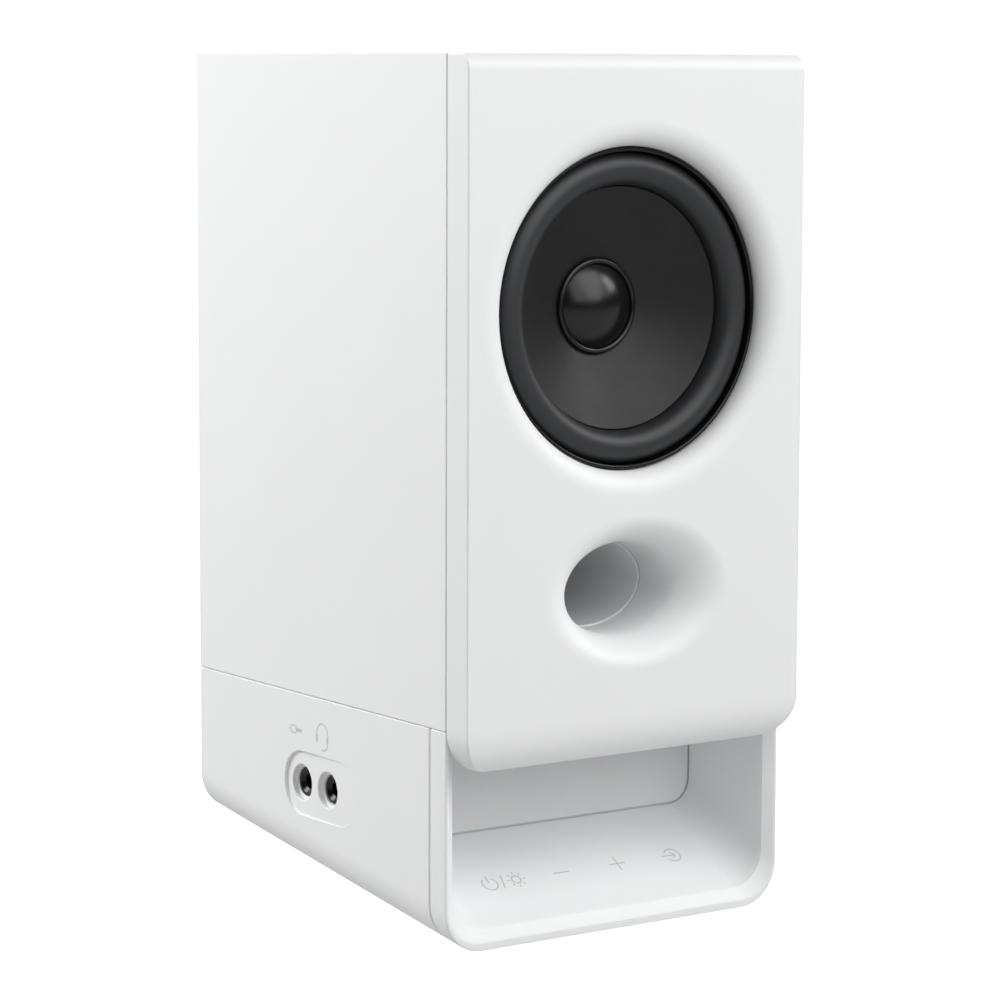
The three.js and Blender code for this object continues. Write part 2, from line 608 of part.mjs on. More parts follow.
const usbOutline = (inset) => roundedRectangle(
  usb.x - usb.halfWidth + inset, usb.x + usb.halfWidth - inset,
  usb.z - usb.halfHeight + inset, usb.z + usb.halfHeight - inset, 1.6 - inset);
addPiece('usb_socket', join(
  cut(alongY(usbOutline(0), 114, depth - 0.5, 6), alongY(usbOutline(0.4), 115, 126, 6)),
  block(usb.x - 3.2, usb.x + 3.2, 114, 121.4, usb.z - 0.35, usb.z + 0.35)), zincSteel);

// ---- Driver leads ----------------------------------------------------------------------------

const leadSection = new THREE.Shape();
leadSection.absarc(0, 0, 0.75, 0, 2 * Math.PI);
[['driver_lead_positive', -1.6, redPlastic], ['driver_lead_negative', 1.6, blackPlastic]].forEach(
  ([name, offset, material]) => {
    const tag = terminal.radial + terminal.thickness / 2;
    const top = new THREE.Vector3(
      Math.sin(-terminalTurn) * tag, 0, driver.z + Math.cos(-terminalTurn) * tag);
    const route = new THREE.CatmullRomCurve3([
      new THREE.Vector3(leadHole.x + offset, leadHole.y, onBoard + 0.3),
      new THREE.Vector3(leadHole.x + offset, leadHole.y, 10),
      new THREE.Vector3(leadHole.x + offset, leadHole.y - 4, 45),
      new THREE.Vector3(top.x + offset + 2, 58, top.z - 6),
      new THREE.Vector3(top.x + offset * 0.7, terminal.rear + 1.2, top.z + offset * 0.7),
    ]);
    addPiece(name, new THREE.ExtrudeGeometry(
      leadSection, { steps: 24, bevelEnabled: false, curveSegments: 4, extrudePath: route }), material);
  });

// ---- Place the whole on its feet, centred ----------------------------------------------------

speaker.updateMatrixWorld(true);
const bounds = new THREE.Box3().setFromObject(speaker, true);
const middle = bounds.getCenter(new THREE.Vector3());
speaker.position.set(-middle.x, -middle.y, -bounds.min.z);
speaker.updateMatrixWorld(true);

export default speaker;
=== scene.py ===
"""A powered desktop bookshelf speaker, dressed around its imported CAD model.

Shapes are drawn in the cabinet's own leaning frame, in millimetres: x to the right seen from the
front, y square to the baffle towards the rear, z up along the baffle from the seam between the
cabinet and the base. `place` leans them back and sets them in the row frame, in metres.
"""

import json
import math

import bmesh
import bpy
import numpy as np
from mathutils import Matrix, Vector


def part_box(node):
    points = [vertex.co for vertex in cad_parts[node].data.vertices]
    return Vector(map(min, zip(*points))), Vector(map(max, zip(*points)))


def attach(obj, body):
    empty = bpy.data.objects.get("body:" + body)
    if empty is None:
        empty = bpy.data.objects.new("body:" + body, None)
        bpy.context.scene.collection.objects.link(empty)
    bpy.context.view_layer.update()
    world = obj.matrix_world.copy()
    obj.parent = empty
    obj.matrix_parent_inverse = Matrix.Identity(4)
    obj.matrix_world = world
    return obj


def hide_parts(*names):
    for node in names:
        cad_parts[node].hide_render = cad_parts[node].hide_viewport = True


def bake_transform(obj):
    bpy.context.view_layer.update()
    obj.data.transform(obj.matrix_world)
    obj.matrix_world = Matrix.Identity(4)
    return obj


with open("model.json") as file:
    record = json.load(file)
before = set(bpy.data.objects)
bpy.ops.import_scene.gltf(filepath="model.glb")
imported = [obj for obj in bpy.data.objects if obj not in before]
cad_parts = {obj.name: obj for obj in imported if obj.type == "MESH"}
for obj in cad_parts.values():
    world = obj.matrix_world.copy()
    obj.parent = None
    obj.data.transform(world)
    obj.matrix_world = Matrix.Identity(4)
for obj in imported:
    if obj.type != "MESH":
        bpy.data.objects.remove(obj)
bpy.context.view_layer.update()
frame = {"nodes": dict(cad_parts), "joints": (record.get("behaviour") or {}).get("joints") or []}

# ---- The leaning frame, read from the CAD model ------------------------------------------------

MM = 0.001
slide = frame["joints"][0]["axis"]
LEAN = math.atan2(slide[2], -slide[1])
rotation = Matrix.Rotation(-LEAN, 4, "X")


def leaning_points(node):
    return [rotation.inverted() @ v.co / MM for v in frame["nodes"][node].data.vertices]


origin = Vector((
    0,
    min(p.y for p in leaning_points("front_baffle")),
    min(p.z for p in leaning_points("cabinet_shell")),
))
place = rotation @ Matrix.Scale(MM, 4) @ Matrix.Translation(origin)


def spread(node):
    """The lowest and the highest corner of a CAD node in the leaning frame."""
    points = [p - origin for p in leaning_points(node)]
    low = Vector(min(p[k] for p in points) for k in range(3))
    high = Vector(max(p[k] for p in points) for k in range(3))
    return low, high


def middle(node):
    low, high = spread(node)
    return (low + high) / 2


HAIR = 0.01                     # keeps fine curves inside the CAD model's box
cabinet_low, cabinet_high = spread("cabinet_shell")
baffle_low = spread("front_baffle")[0]
HALF_WIDTH = cabinet_high.x
TOP = cabinet_high.z - HAIR
FRONT = cabinet_low.y           # the front of the cabinet and of the base
REAR = cabinet_high.y
DRIVER_Z = middle("cone").z
PORT_Z = middle("port_tube").z
JACK_Z = middle("headphone_socket").z

# ---- Dimensions --------------------------------------------------------------------------------

GAP = 0.3
BAFFLE = {
    "thickness": 8, "bottom": baffle_low.z, "corner": 10.5, "top_corner": 0.6, "top_edge": 4,
    "roll_depth": 6.5, "roll_height": 11, "draft": 0.6, "edge": 0.45,
    "rib_set": 4.3, "rib_width": 2.2, "rib_depth": 5,
}
DRIVER = {"opening": 39.2, "flare": 45.5, "flare_depth": 4.7}
PORT = {
    "half_x": 17, "half_z": 11.3, "mouth_x": 27.9, "mouth_z": 18.9, "flare_depth": 11,
    "spigot_end": 22, "wall": 2,
}
BASE = {
    "half": HALF_WIDTH - 0.06, "height": 54.7, "corner": 11, "wall": 2, "floor": 2.2, "top": -0.12,
    "seam": 15,
}
MOUTH = {"y": FRONT, "half": 50, "low": -52.6, "high": -2.6, "lower": 9.5, "upper": 3}
THROAT = {"y": 10.5, "half": 47.4, "low": -49.4, "high": -4.6, "lower": 9, "upper": 3}
BACK = {"y": 38, "half": 45.4, "low": -32.6, "high": -6, "lower": 6.2, "upper": 2}
TRAY_WALL = 1.5
CREASE = 0.2                    # depth of the fine crease between the recess and its lip

# ---- Mesh tools --------------------------------------------------------------------------------


def turn(steps, start=0.0, end=math.pi / 2):
    """Angles from start to end, in equal steps."""
    return [start + (end - start) * i / steps for i in range(steps + 1)]


def skin(rings, around=True, along=False, caps=False):
    """A mesh through rings of points. around closes each ring, along joins the last to the first."""
    bm = bmesh.new()
    rows = [[bm.verts.new(p) for p in ring] for ring in rings]
    stretch(bm, rows, around, along)
    if caps:
        bm.faces.new(rows[0])
        bm.faces.new(rows[-1])
    return bm


def stretch(bm, rows, around=False, along=False):
    """Fills the quads between rows of vertices."""
    pairs = list(zip(rows, rows[1:])) + ([(rows[-1], rows[0])] if along else [])
    for first, second in pairs:
        count = len(first)
        for i in range(count if around else count - 1):
            j = (i + 1) % count
            bm.faces.new((first[i], first[j], second[j], second[i]))


def rounded(corners, steps=6):
    """An outline with each corner (a, b, radius) turned into an arc."""
    outline = []
    count = len(corners)
    for i, (a, b, radius) in enumerate(corners):
        here = Vector((a, b))
        before = Vector(corners[i - 1][:2]) - here
        after = Vector(corners[(i + 1) % count][:2]) - here
        if radius <= 0:
            outline.append(here)
            continue
        half = before.angle(after) / 2
        reach = radius / math.tan(half)
        start = here + before.normalized() * reach
        finish = here + after.normalized() * reach
        centre = here + (before.normalized() + after.normalized()).normalized() * radius / math.sin(half)
        first = start - centre
        sweep = first.angle_signed(finish - centre)
        for k in range(steps + 1):
            spin = Matrix.Rotation(-sweep * k / steps, 2)
            outline.append(centre + spin @ first)
    return outline


def box_outline(half, low, high, lower, upper, steps=16):
    """A rectangle in x and z with its own radius for the lower and the upper corners."""
    corners = [(-half, low, lower), (half, low, lower), (half, high, upper), (-half, high, upper)]
    return rounded(corners, steps)


def at_y(outline, y):
    return [Vector((x, y, z)) for x, z in outline]


def turned(profile, sides=128):
    """A closed profile of (radius, y) turned about the driver's axis."""
    rings = []
    for k in range(sides):
        a = 2 * math.pi * k / sides
        rings.append([Vector((r * math.cos(a), y, DRIVER_Z + r * math.sin(a))) for r, y in profile])
    bm = skin(rings, around=True, along=True)
    bmesh.ops.remove_doubles(bm, verts=bm.verts, dist=1e-4)
    return bm


def prism(outline, low, high, axis="y"):
    """An outline extruded along an axis: (x, z) along y, (y, z) along x and (x, y) along z."""
    turns = {"y": lambda a, b, c: (a, c, b), "x": lambda a, b, c: (c, a, b), "z": lambda a, b, c: (a, b, c)}
    corner = turns[axis]
    return skin([[Vector(corner(a, b, c)) for a, b in outline] for c in (low, high)], caps=True)


def circle(radius, a0, b0, sides=48):
    return [(a0 + radius * math.cos(t), b0 + radius * math.sin(t)) for t in turn(sides, 0, 2 * math.pi)[:-1]]


def ellipse(half_x, half_z, y, z0, sides=96):
    """A ring of points on an ellipse at a depth."""
    angles = turn(sides, 0, 2 * math.pi)[:-1]
    return [Vector((half_x * math.cos(t), y, z0 + half_z * math.sin(t))) for t in angles]


def as_object(bm, name="tool"):
    bmesh.ops.recalc_face_normals(bm, faces=bm.faces)
    mesh = bpy.data.meshes.new(name)
    bm.to_mesh(mesh)
    bm.free()
    obj = bpy.data.objects.new(name, mesh)
    bpy.context.scene.collection.objects.link(obj)
    return obj


def combined(bm, *steps):
    """bm after a boolean with each (operation, tool) in turn."""
    body = as_object(bm, "body")
    tools = []
    for operation, tool in steps:
        cutter = as_object(tool)
        modifier = body.modifiers.new("cut", "BOOLEAN")
        modifier.operation = operation
        modifier.solver = "EXACT"
        modifier.object = cutter
        tools.append(cutter)
    bpy.context.view_layer.update()
    graph = bpy.context.evaluated_depsgraph_get()
    result = bmesh.new()
    result.from_mesh(body.evaluated_get(graph).to_mesh())
    for obj in [body, *tools]:
        bpy.data.objects.remove(obj)
    bmesh.ops.remove_doubles(result, verts=result.verts, dist=1e-3)
    bmesh.ops.dissolve_limit(
        result, angle_limit=math.radians(0.4), verts=result.verts, edges=result.edges)
    return result


def cut(bm, *tools):
    return combined(bm, *[("DIFFERENCE", tool) for tool in tools])


# ---- Pieces ------------------------------------------------------------------------------------


def finish_shape(obj, bevel, crease):
    """Rounds the sharp edges, if asked, and lets flat faces keep their own shading."""
    if bevel:
        modifier = obj.modifiers.new("edges", "BEVEL")
        modifier.width = bevel * MM
        modifier.segments = 3
        modifier.limit_method = "ANGLE"
        modifier.angle_limit = math.radians(crease)
        modifier.miter_outer = "MITER_ARC"
    modifier = obj.modifiers.new("shading", "WEIGHTED_NORMAL")
    modifier.keep_sharp = True
    modifier.weight = 80


def add_piece(name, bm, material, replaces=(), body="root", bevel=0.0, crease=38, matrix=place):
    """A new piece from a mesh drawn in the leaning frame."""
    bmesh.ops.transform(bm, matrix=matrix, verts=bm.verts)
    obj = as_object(bm, name)
    obj.data.shade_smooth()
    if not bevel:
        obj.data.set_sharp_from_angle(angle=math.radians(crease))
    finish_shape(obj, bevel, crease)
    obj.data.materials.append(material)
    if body:
        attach(obj, body)
    if replaces:
        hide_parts(*replaces)
    return obj


def dress(node, material, bevel=0.25, crease=35):
    """Keeps a CAD node, with softened edges and its own material."""
    obj = frame["nodes"][node]
    obj.data.materials.clear()
    obj.data.materials.append(material)
    weld = obj.modifiers.new("weld", "WELD")
    weld.merge_threshold = 0.00001
    for polygon in obj.data.polygons:
        polygon.use_smooth = True
    finish_shape(obj, bevel, crease)


# ---- Materials ---------------------------------------------------------------------------------


def material(slot, colour, roughness, grain, bump, mottle=0.03, rough_spread=0.05, large=25.0, **inputs):
    """A surface with a fine grain, a faint large mottling and uneven gloss.
    grain is the size of the grain in millimetres and bump is its depth."""
    made = bpy.data.materials.new(f"{slot}_{len(bpy.data.materials)}")
    made["slot"] = slot
    made.use_nodes = True
    nodes, links = made.node_tree.nodes, made.node_tree.links
    shader = nodes["Principled BSDF"]
    for name, value in inputs.items():
        shader.inputs[name.replace("_", " ")].default_value = value
    places = nodes.new("ShaderNodeTexCoord").outputs["Object"]

    def noise(size, detail=3.0):
        node = nodes.new("ShaderNodeTexNoise")
        node.inputs["Scale"].default_value = 1 / (size * MM)
        node.inputs["Detail"].default_value = detail
        links.new(places, node.inputs["Vector"])
        return node.outputs["Fac"]

    tint = nodes.new("ShaderNodeValToRGB")
    tint.color_ramp.elements[0].position = 0.3
    tint.color_ramp.elements[1].position = 0.7
    tint.color_ramp.elements[0].color = (*[c * (1 - mottle) for c in colour], 1)
    tint.color_ramp.elements[1].color = (*[min(1, c * (1 + mottle)) for c in colour], 1)
    links.new(noise(large), tint.inputs["Fac"])
    links.new(tint.outputs["Color"], shader.inputs["Base Color"])

    gloss = nodes.new("ShaderNodeMapRange")
    gloss.inputs["To Min"].default_value = max(0.02, roughness - rough_spread)
    gloss.inputs["To Max"].default_value = min(1, roughness + rough_spread)
    links.new(noise(grain * 6), gloss.inputs["Value"])
    links.new(gloss.outputs["Result"], shader.inputs["Roughness"])

    relief = nodes.new("ShaderNodeBump")
    relief.inputs["Strength"].default_value = 1
    relief.inputs["Distance"].default_value = bump * MM
    links.new(noise(grain, 4.0), relief.inputs["Height"])
    links.new(relief.outputs["Normal"], shader.inputs["Normal"])
    made["relief"] = relief.name
    return made


def add_height(made, build, share):
    """Adds a second height to a material's relief: build(nodes, links) returns a socket."""
    nodes, links = made.node_tree.nodes, made.node_tree.links
    relief = nodes[made["relief"]]
    grain = relief.inputs["Height"].links[0].from_socket
    mix = nodes.new("ShaderNodeMath")
    mix.operation = "MULTIPLY_ADD"
    mix.inputs[1].default_value = share
    links.new(build(nodes, links), mix.inputs[0])
    links.new(grain, mix.inputs[2])
    links.new(mix.outputs["Value"], relief.inputs["Height"])


white = material("white_plastic", (0.86, 0.865, 0.87), 0.42, 0.35, 0.004, mottle=0.006)
white_inside = material("white_plastic", (0.84, 0.845, 0.85), 0.5, 0.35, 0.006, mottle=0.01)
ink = material("black_plastic", (0.58, 0.59, 0.6), 0.6, 0.2, 0.003, mottle=0.04)
frosted = material(
    "diffuser_plastic", (0.84, 0.85, 0.86), 0.5, 0.25, 0.005, mottle=0.01, Subsurface_Weight=0.2,
    Subsurface_Scale=0.002)
gloss_black = material(
    "black_plastic", (0.006, 0.006, 0.0065), 0.2, 0.3, 0.003, mottle=0.1, Specular_IOR_Level=0.35)
satin_black = material("black_plastic", (0.02, 0.02, 0.022), 0.4, 0.25, 0.006, mottle=0.1)
rubber = material("black_rubber", (0.02, 0.021, 0.023), 0.45, 0.3, 0.006, mottle=0.12)
foot_rubber = material("black_rubber", (0.025, 0.026, 0.027), 0.75, 0.4, 0.02, mottle=0.12)
paper = material(
    "cone_paper", (0.008, 0.008, 0.0085), 0.48, 0.45, 0.014, mottle=0.2, large=8.0, Specular_IOR_Level=0.38)
cap_black = material(
    "cone_paper", (0.004, 0.004, 0.0045), 0.25, 0.4, 0.004, mottle=0.1, Specular_IOR_Level=0.5)
steel_black = material("black_steel", (0.03, 0.03, 0.032), 0.42, 0.3, 0.01, mottle=0.1, Metallic=0.4)
zinc = material("zinc_steel", (0.62, 0.63, 0.65), 0.3, 0.4, 0.004, mottle=0.06, Metallic=1.0)
ferrite = material("ferrite", (0.05, 0.05, 0.054), 0.75, 0.3, 0.02, mottle=0.2)
copper = material("copper", (0.72, 0.36, 0.18), 0.3, 0.3, 0.004, mottle=0.08, Metallic=0.9)
amber = material("amber_cloth", (0.62, 0.36, 0.12), 0.8, 0.3, 0.02, mottle=0.15, large=4.0)
brown = material("brown_paper", (0.35, 0.2, 0.1), 0.65, 0.3, 0.01, mottle=0.15, large=5.0)
green = material("green_board", (0.03, 0.17, 0.075), 0.32, 0.5, 0.006, mottle=0.1, large=6.0)
aluminium = material("aluminium", (0.7, 0.71, 0.73), 0.35, 0.25, 0.006, mottle=0.05, Metallic=1.0)
felt = material("grey_fibre", (0.36, 0.36, 0.37), 1.0, 0.6, 0.3, mottle=0.3, large=5.0)
lens = material("lens_white", (0.9, 0.85, 0.7), 0.2, 0.3, 0.002, mottle=0.03)
red = material("red_plastic", (0.5, 0.03, 0.02), 0.4, 0.3, 0.006, mottle=0.1)


def ring_waves(pitch):
    """Winding turns: even waves along the driver's axis."""
    def build(nodes, links):
        wave = nodes.new("ShaderNodeTexWave")
        wave.bands_direction = "Y"
        wave.inputs["Scale"].default_value = 1 / (pitch * MM) / 20 * math.pi
        links.new(nodes.new("ShaderNodeTexCoord").outputs["Object"], wave.inputs["Vector"])
        return wave.outputs["Fac"]
    return build


def weave(pitch):
    """Crossed threads."""
    def build(nodes, links):
        coords = nodes.new("ShaderNodeTexCoord").outputs["Object"]
        sockets = []
        for direction in ("X", "Z"):
            wave = nodes.new("ShaderNodeTexWave")
            wave.bands_direction = direction
            wave.inputs["Scale"].default_value = 1 / (pitch * MM) / 20 * math.pi
            links.new(coords, wave.inputs["Vector"])
            sockets.append(wave.outputs["Fac"])
        mix = nodes.new("ShaderNodeMath")
        mix.operation = "MULTIPLY"
        links.new(sockets[0], mix.inputs[0])
        links.new(sockets[1], mix.inputs[1])
        return mix.outputs["Value"]
    return build


add_height(copper, ring_waves(0.4), 4)
add_height(amber, weave(0.5), 3)

# ---- Baffle ------------------------------------------------------------------------------------

BLEND_STEPS = 4
COLUMNS = 24


def front_at(z):
    """How far the front lies behind its foremost plane at a height, and the way it faces."""
    top_start = TOP - BAFFLE["top_edge"]
    roll_start = BAFFLE["bottom"] + BAFFLE["roll_height"]
    if z > top_start:
        depth = height = BAFFLE["top_edge"]
        up = min(1, (z - top_start) / height)
        side = 1
    elif z < roll_start:
        depth, height = BAFFLE["roll_depth"], BAFFLE["roll_height"]
        up = min(1, (roll_start - z) / height)
        side = -1
    else:
        return 0.0, 0.0
    level = math.sqrt(1 - up * up)
    facing = Vector((level / depth, up / height)).normalized()
    return depth * (1 - level), side * facing.y


def drafted(x, y):
    """The sides close in a little towards the front."""
    return x * (1 - BAFFLE["draft"] * max(0, 1 - y / BAFFLE["thickness"]) / HALF_WIDTH)


def baffle_stations():
    """Right half of the slab's outline from the top to the bottom: x, z and the outward normal."""
    top_r, low_r, bottom = BAFFLE["top_corner"], BAFFLE["corner"], BAFFLE["bottom"]
    stations = []
    for t in turn(5, math.pi / 2, 0):
        stations.append((HALF_WIDTH - top_r * (1 - math.cos(t)), TOP - top_r * (1 - math.sin(t)),
                         math.cos(t), math.sin(t)))
    edge = BAFFLE["top_edge"]
    first = math.asin((edge - top_r) / edge)
    for t in turn(8, first, 0)[1:]:
        stations.append((HALF_WIDTH, TOP - edge + edge * math.sin(t), 1, 0))
    stations.append((HALF_WIDTH, bottom + BAFFLE["roll_height"], 1, 0))
    for t in turn(30):
        stations.append((HALF_WIDTH - low_r * (1 - math.cos(t)), bottom + low_r * (1 - math.sin(t)),
                         math.cos(t), -math.sin(t)))
    return stations


def edge_column(x, z, nx, nz):
    """The rounded edge from the front face to the slab's side, then back to its rear edge."""
    depth, facing_z = front_at(z)
    sharpness = math.sqrt(max(0, 1 - (nz * facing_z) ** 2))
    inset = max(BAFFLE["edge"] * sharpness, 0.03)
    inner_z = z - nz * inset
    face = Vector((x - nx * inset, front_at(inner_z)[0], inner_z))
    corner = Vector((x, depth, z))
    side = Vector((x, depth + inset, z))
    column = []
    for i in range(BLEND_STEPS + 1):
        t = i / BLEND_STEPS
        column.append(face * (1 - t) ** 2 + corner * 2 * t * (1 - t) + side * t * t)
    rear = BAFFLE["thickness"]
    chamfer = 0.25
    column.append(Vector((x, rear - chamfer, z)))
    column.append(Vector((x - nx * chamfer, rear, z - nz * chamfer)))
    return column


def driver_rings():
    rings = []
    for t in turn(12):
        radius = DRIVER["flare"] - (DRIVER["flare"] - DRIVER["opening"]) * math.sin(t)
        rings.append(ellipse(radius, radius, DRIVER["flare_depth"] * (1 - math.cos(t)), DRIVER_Z, 128))
    rings.append(ellipse(DRIVER["opening"], DRIVER["opening"], BAFFLE["thickness"], DRIVER_Z, 128))
    return rings


def port_rings():
    """From the mouth through the flare to the spigot's end, then back over its outside."""
    rings = []
    for t in turn(16):
        grow = 1 - math.sin(t)
        rings.append(ellipse(
            PORT["half_x"] + (PORT["mouth_x"] - PORT["half_x"]) * grow,
            PORT["half_z"] + (PORT["mouth_z"] - PORT["half_z"]) * grow,
            PORT["flare_depth"] * (1 - math.cos(t)), PORT_Z))
    end, wall = PORT["spigot_end"], PORT["wall"]
    for grow, y in ((0, end), (wall, end), (wall, BAFFLE["thickness"])):
        rings.append(ellipse(PORT["half_x"] + grow, PORT["half_z"] + grow, y, PORT_Z))
    return rings


def fill_between(bm, *loops):
    """Fills a flat region bounded by loops of vertices."""
    edges = []
    for loop in loops:
        for first, second in zip(loop, loop[1:] + loop[:1]):
            edges.append(bm.edges.get((first, second)) or bm.edges.new((first, second)))
    bmesh.ops.triangle_fill(bm, use_beauty=True, use_dissolve=False, edges=edges)


def make_baffle():
    bm = bmesh.new()
    right = baffle_stations()
    columns = []
    for x, z, nx, nz in right:
        columns.append([(edge_column(x, z, nx, nz)), (edge_column(-x, z, -nx, nz))])
    rows = []
    for right_column, left_column in columns:
        start, finish = left_column[0], right_column[0]
        rows.append([start.lerp(finish, k / COLUMNS) for k in range(COLUMNS + 1)])

    def vert(p):
        return bm.verts.new((drafted(p.x, p.y), p.y, p.z))

    grid = [[vert(p) for p in row] for row in rows]
    planar = next(i for i, s in enumerate(right) if abs(s[1] - (TOP - BAFFLE["top_edge"])) < 1e-6)
    stretch(bm, grid[:planar + 1])
    stretch(bm, grid[planar + 1:])

    def outward(row_index, column, side):
        first = grid[row_index][-1 if side > 0 else 0]
        return [first] + [vert(p) for p in column[1:]]

    def across(row_index, k, nz):
        x = rows[row_index][k].x
        z = TOP if nz > 0 else BAFFLE["bottom"]
        return [grid[row_index][k]] + [vert(p) for p in edge_column(x, z, 0, nz)[1:]]

    last = len(right) - 1
    around = [outward(i, columns[i][0], 1) for i in range(len(right))]
    around += [across(last, k, -1) for k in range(COLUMNS - 1, 0, -1)]
    around += [outward(i, columns[i][1], -1) for i in range(last, -1, -1)]
    around += [across(0, k, 1) for k in range(1, COLUMNS)]
    stretch(bm, around, around=False, along=True)

    driver = [[vert_plain(bm, p) for p in ring] for ring in driver_rings()]
    port = [[vert_plain(bm, p) for p in ring] for ring in port_rings()]
    stretch(bm, driver, around=True)
    stretch(bm, port, around=True)
    boundary = grid[planar] + [grid[planar + 1][k] for k in range(COLUMNS, -1, -1)]
    fill_between(bm, boundary, driver[0], port[0])

    ribs = []
    inset, width = BAFFLE["rib_set"], BAFFLE["rib_width"]
    for grow, y in ((0, 0), (0, BAFFLE["rib_depth"]), (width, BAFFLE["rib_depth"]), (width, 0)):
        outline = box_outline(HALF_WIDTH - inset - grow, inset + grow, TOP - inset - grow, 1.5, 1.5, 4)
        ribs.append([vert_plain(bm, p) for p in at_y(outline, BAFFLE["thickness"] + y)])
    stretch(bm, ribs, around=True)
    fill_between(bm, [column[-1] for column in around], ribs[0])
    fill_between(bm, ribs[-1], driver[-1], port[-1])
    return bm


def vert_plain(bm, p):
    return bm.verts.new(p)


add_piece("baffle_moulding", make_baffle(), white, replaces=["front_baffle"],
          matrix=place @ Matrix.Translation((0, HAIR, 0)))

# ---- Driver ------------------------------------------------------------------------------------


def arc(r0, y0, radius, start, end, steps):
    """Points of an arc in (radius, y) about (r0, y0)."""
    return [(r0 + radius * math.cos(t), y0 + radius * math.sin(t)) for t in turn(steps, start, end)]


def sheet_profile(front, thickness):
    """A closed section: a front line and the same line moved back."""
    return front + [(r, y + thickness) for r, y in reversed(front)]


ROLL = {"foot": 8.7, "centre": 33.85, "radius": 4.1, "outer": 38.7, "sheet": 0.5}
CONE = {"rim": 29.5, "rim_y": 8.9, "neck": 11.9, "neck_y": 18.2, "bulge": 0.5, "sheet": 0.6}


def cone_front(r):
    """The pressed cone's front, a shallow flare from the neck to the rim."""
    t = (r - CONE["neck"]) / (CONE["rim"] - CONE["neck"])
    return CONE["neck_y"] + (CONE["rim_y"] - CONE["neck_y"]) * t + CONE["bulge"] * math.sin(math.pi * t)


def make_surround():
    """A half roll: its outer foot is on the frame and its inner foot is glued behind the cone's edge."""
    fillet = 0.45
    foot, centre, radius = ROLL["foot"], ROLL["centre"], ROLL["radius"]
    lift = math.asin(fillet / (radius + fillet))
    reach = (radius + fillet) * math.cos(lift)
    front = [(ROLL["outer"], foot)]
    front += arc(centre + reach, foot - fillet, fillet, math.pi / 2, math.pi - lift, 5)
    front += arc(centre, foot, radius, -lift, -math.pi, 28)[1:]
    front += [(centre - radius, foot + 0.8)]
    behind = CONE["sheet"] + 0.25
    front += [(r, cone_front(r) + behind) for r in (29.3, 28.4, 27.6)]
    return turned(sheet_profile(front, ROLL["sheet"]), 160)


def make_cone():
    rim, neck, sheet, neck_y = CONE["rim"], CONE["neck"], CONE["sheet"], CONE["neck_y"]
    front = [(r, cone_front(r)) for r in np.linspace(rim - 0.15, neck, 24)]
    inner = neck - 0.9
    profile = [(rim, CONE["rim_y"] + 0.15)] + front
    profile += [(inner, neck_y + 0.5), (inner, neck_y + 3.9)]
    profile += [(inner + 0.5, neck_y + 3.7), (inner + 0.5, neck_y + 1.4)]
    profile += [(r, cone_front(r) + sheet) for r in np.linspace(neck + 0.7, rim - 0.1, 18)]
    return turned(profile, 160)


CAP = {"rim": 10.3, "height": 4.0, "collar": 11.75, "y": 18.0}


def make_dust_cap():
    """A pressed dome inside a raised collar, where it is glued to the cone."""
    rim, rim_y, height = CAP["rim"], CAP["y"], CAP["height"]
    radius = (rim * rim + height * height) / (2 * height)
    dome_angle = math.asin(rim / radius)
    outside = [(radius * math.sin(t), rim_y - height + radius * (1 - math.cos(t)))
               for t in turn(28, 0, dome_angle)]
    half = (CAP["collar"] - rim) / 2
    collar = [(rim + half - half * math.cos(t), rim_y - 0.75 * math.sin(t)) for t in turn(12, 0.25, math.pi)]
    inside = [(r * 0.95, y + 0.5) for r, y in reversed(outside)]
    return turned(outside + collar + [(CAP["collar"], rim_y + 0.5)] + inside, 128)


def sprung(name, bm, material, node, inner, outer):
    """A piece that replaces a CAD node and rides on no body. For each vertex it works out how far it lies
    between the outer and the inner radius, but keeps nothing of it.
    """
    piece = add_piece(name, bm, material, replaces=[node], body=None)
    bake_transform(piece)
    unplace = place.inverted()
    for v in piece.data.vertices:
        p = unplace @ v.co
        share = (outer - math.hypot(p.x, p.z - DRIVER_Z)) / (outer - inner)
        share = min(1, max(0, share))


def make_spider():
    inner, outer, waves, height, level = 12.2, 25.5, 4, 1.1, 29.5
    front = [(28.4, level)]
    for i in range(81):
        way = i / 80
        front.append((outer - (outer - inner) * way, level - height * math.sin(way * waves * 2 * math.pi)))
    front.append((10.6, level))
    return turned(sheet_profile(front, 0.4), 96)


add_piece("trim_ring", turned(
    [(37.9, 8.1)] + arc(38.4, 5.4, 0.5, math.pi, 1.5 * math.pi, 6)
    + arc(38.55, 5.25, 0.35, 1.5 * math.pi, 2 * math.pi, 5) + [(38.9, 8.1)], 160),
    gloss_black, replaces=["driver_trim_ring"])
sprung("surround_roll", make_surround(), rubber, "surround", 29.8, 37.9)
sprung("spider_cloth", make_spider(), amber, "spider", 12.2, 25.5)
add_piece("cone_pressing", make_cone(), paper, replaces=["cone"], body="cone_assembly", crease=50)
add_piece("dust_cap_dome", make_dust_cap(), cap_black, replaces=["dust_cap"], body="cone_assembly", crease=60)

# ---- Bass port ---------------------------------------------------------------------------------


def make_port_tube():
    start, end, wall = PORT["spigot_end"] + GAP, spread("port_tube")[1].y, PORT["wall"]
    flange_front, flange_rear, flange = 14.2, 26, 4.6
    step, soft = 0.4, 0.25
    section = [(-step, start + soft), (-step + soft, start), (wall + GAP, start)]
    section += [(wall + GAP, flange_front), (flange - 0.4, flange_front), (flange, flange_front + 0.4)]
    section += [(flange, flange_rear - 0.4), (flange - 0.4, flange_rear), (wall, flange_rear)]
    section += [(wall, end - 0.5), (wall - 0.5, end), (0.1, end), (-step, end - 0.5)]
    rings = [ellipse(PORT["half_x"] + grow, PORT["half_z"] + grow, y, PORT_Z) for grow, y in section]
    return skin(rings, around=True, along=True)


